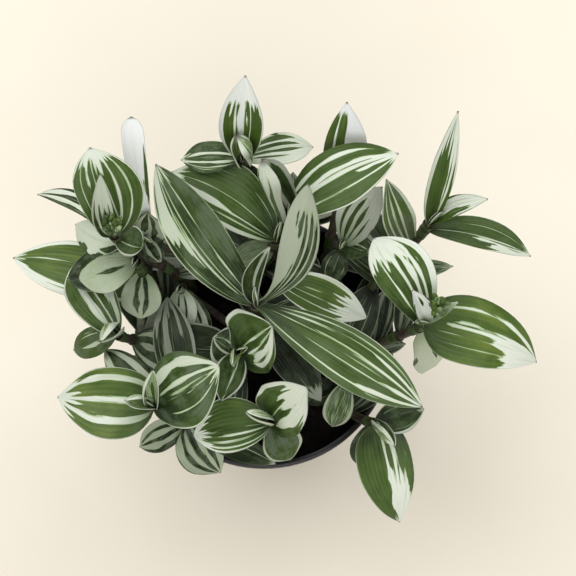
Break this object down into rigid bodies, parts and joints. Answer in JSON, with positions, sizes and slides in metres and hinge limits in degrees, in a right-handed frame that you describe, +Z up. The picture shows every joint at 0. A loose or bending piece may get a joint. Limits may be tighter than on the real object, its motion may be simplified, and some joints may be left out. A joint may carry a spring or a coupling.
{
  "type": "potted tradescantia",
  "caption": "Variegated potted tradescantia: leafy stems with green and white striped, pointed leaves rising out of soil in a tapered black plastic nursery pot.",
  "frame": {"origin": "middle of the pot's foot, on the surface that it stands on, which is within 2 mm of the middle of the whole part's outline from above", "axes": "+Z up along the pot's axis; -Y is the side towards the viewer of the picture, and +X is to the viewer's right"},
  "size_m": [0.238, 0.168, 0.2043],
  "materials": {
    "pot_plastic": "black injection moulded plastic with a satin sheen",
    "soil": "dark crumbly potting soil",
    "foliage": "soft satin leaves, green with white stripes and edges"
  },
  "bodies": {
    "root": {"pot": "pot_plastic", "soil": "soil", "stem_centre": "foliage", "stem_centre_east": "foliage", "stem_north_centre": "foliage", "stem_north_east": "foliage", "stem_north": "foliage", "stem_north_east_back": "foliage", "stem_east": "foliage", "stem_far_east": "foliage", "stem_right_crown": "foliage", "stem_south_east": "foliage", "stem_south_east_inner": "foliage", "stem_south": "foliage", "stem_south_west_low": "foliage", "stem_south_west": "foliage", "stem_south_centre": "foliage", "stem_south_inner": "foliage", "stem_west": "foliage", "stem_west_upper": "foliage", "stem_north_west": "foliage", "stem_north_west_inner": "foliage", "stem_inner_west": "foliage"}
  },
  "joints": []
}
